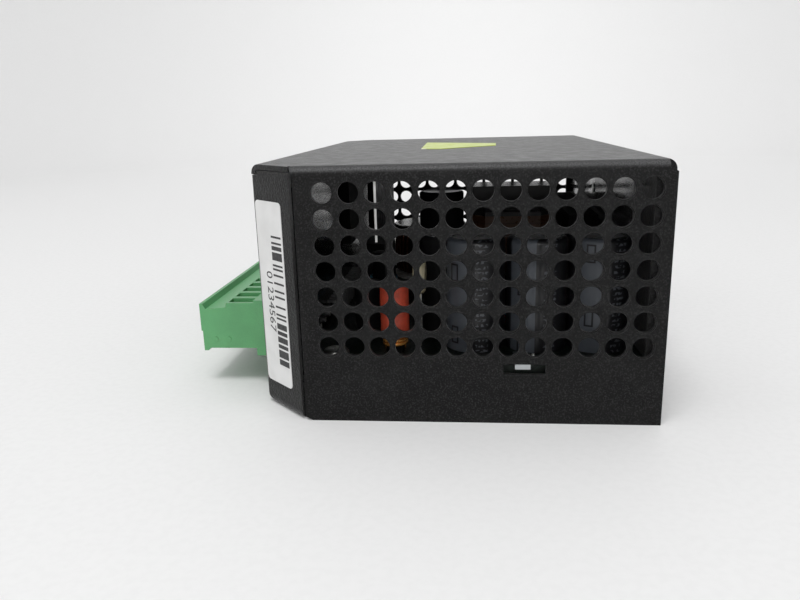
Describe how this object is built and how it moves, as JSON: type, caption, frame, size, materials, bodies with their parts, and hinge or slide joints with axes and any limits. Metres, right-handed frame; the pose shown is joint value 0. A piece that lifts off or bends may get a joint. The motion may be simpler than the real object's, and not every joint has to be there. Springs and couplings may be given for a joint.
{
  "type": "din rail power supply",
  "caption": "Narrow perforated steel power supply for a 35 mm rail, lying on its broad side, with pluggable green terminals and a sprung rail latch.",
  "frame": {"origin": "centre of the overall box, on the plane of the broad side that it rests on", "axes": "+X points to the rail side, -X to the front panel with the terminals, +Y along the unit's height (the -Y vented end is the upper one in use), +Z across its width, away from the resting side"},
  "size_m": [0.1052, 0.124, 0.0508],
  "materials": {
    "black_powder_coat": "fine textured powder coat, satin",
    "label_white": "coated label stock, satin",
    "sticker_lime": "printed film, semi-gloss",
    "foot_aluminium": "extruded, natural, satin",
    "zinc_steel": "zinc plated, satin",
    "spring_steel": "drawn wire, polished",
    "board_laminate": "solder mask over glass laminate",
    "standoff_brass": "turned, satin",
    "insulating_film": "clear polyester film",
    "tinned_metal": "hot tinned, satin",
    "terminal_green": "moulded polyamide, satin",
    "contact_copper": "tinned copper alloy",
    "led_green": "tinted epoxy",
    "clear_plastic": "clear polycarbonate",
    "trimmer_blue": "moulded, gloss",
    "trimmer_white": "moulded",
    "can_aluminium": "drawn can, satin",
    "sleeve_black": "shrunk film with a blue-grey stripe",
    "ferrite": "pressed ferrite, dull",
    "former_black": "phenolic",
    "copper_wire": "enamelled copper wire, glossy",
    "tape_brown": "polyester tape",
    "sleeve_red": "shrunk sleeve, satin",
    "choke_white": "moulded",
    "capacitor_grey": "moulded box",
    "disc_cream": "dipped resin",
    "disc_blue": "dipped resin",
    "disc_dark": "dipped resin",
    "fuse_glass": "ceramic tube with metal caps",
    "epoxy_black": "moulded epoxy",
    "sink_aluminium": "rolled sheet, natural",
    "pad_grey": "filled silicone",
    "resistor_blue": "lacquered"
  },
  "bodies": {
    "case": {"barcode_label": "label_white", "base_tray": "black_powder_coat", "board_link_pins": "tinned_metal", "board_standoffs": "standoff_brass", "bridge_rectifier": "epoxy_black", "chips": "epoxy_black", "cover": "black_powder_coat", "disc_capacitor": "disc_cream", "earth_tabs": "tinned_metal", "foot_screws": "zinc_steel", "front_board": "board_laminate", "fuse_clips": "tinned_metal", "header_pins": "tinned_metal", "heat_sink": "sink_aluminium", "input_header": "terminal_green", "insulating_sheet": "insulating_film", "latch_spring": "spring_steel", "light_pipe": "clear_plastic", "main_board": "board_laminate", "mains_choke_base": "choke_white", "mains_choke_core": "ferrite", "mains_choke_windings": "copper_wire", "mains_fuse": "fuse_glass", "output_capacitor_1_can": "can_aluminium", "output_capacitor_1_sleeve": "sleeve_black", "output_capacitor_2_can": "can_aluminium", "output_capacitor_2_sleeve": "sleeve_black", "output_capacitor_3_can": "can_aluminium", "output_capacitor_3_sleeve": "sleeve_black", "output_header": "terminal_green", "pan_head_screws": "zinc_steel", "power_transistors": "epoxy_black", "rail_foot": "foot_aluminium", "reservoir_capacitor_can": "can_aluminium", "reservoir_capacitor_sleeve": "sleeve_black", "resistors": "resistor_blue", "rod_choke_core": "ferrite", "rod_choke_sleeve": "sleeve_red", "rod_choke_winding": "copper_wire", "shield_plate": "tinned_metal", "side_sticker": "sticker_lime", "small_capacitors": "sleeve_black", "status_led": "led_green", "suppression_capacitor": "capacitor_grey", "thermal_pad": "pad_grey", "thermistor": "disc_dark", "transformer_bobbin": "former_black", "transformer_core": "ferrite", "transformer_tape": "tape_brown", "transformer_winding": "copper_wire", "trimmer_body": "trimmer_blue", "varistor": "disc_blue"},
    "output_plug": {"output_plug": "terminal_green", "output_plug_contacts": "contact_copper", "output_plug_springs": "spring_steel"},
    "input_plug": {"input_plug": "terminal_green", "input_plug_contacts": "contact_copper", "input_plug_springs": "spring_steel"},
    "latch": {"rail_latch": "zinc_steel"},
    "trimmer": {"trimmer_rotor": "trimmer_white"}
  },
  "joints": [
    {"name": "latch_slide", "type": "slide", "parent": "case", "child": "latch", "axis": [0, 1, 0], "range_m": [0, 0.0045], "stiffness_N_per_m": 800, "springref_m": -0.005, "deforming": ["latch_spring"]},
    {"name": "output_plug_pull", "type": "slide", "parent": "case", "child": "output_plug", "axis": [-1, 0, 0], "range_m": [0, 0.012]},
    {"name": "input_plug_pull", "type": "slide", "parent": "case", "child": "input_plug", "axis": [-1, 0, 0], "range_m": [0, 0.012]},
    {"name": "trimmer_turn", "type": "hinge", "parent": "case", "child": "trimmer", "pos_m": [-0.0348, 0.0463, 0.0386], "axis": [-1, 0, 0], "range_deg": [-130, 130]}
  ]
}
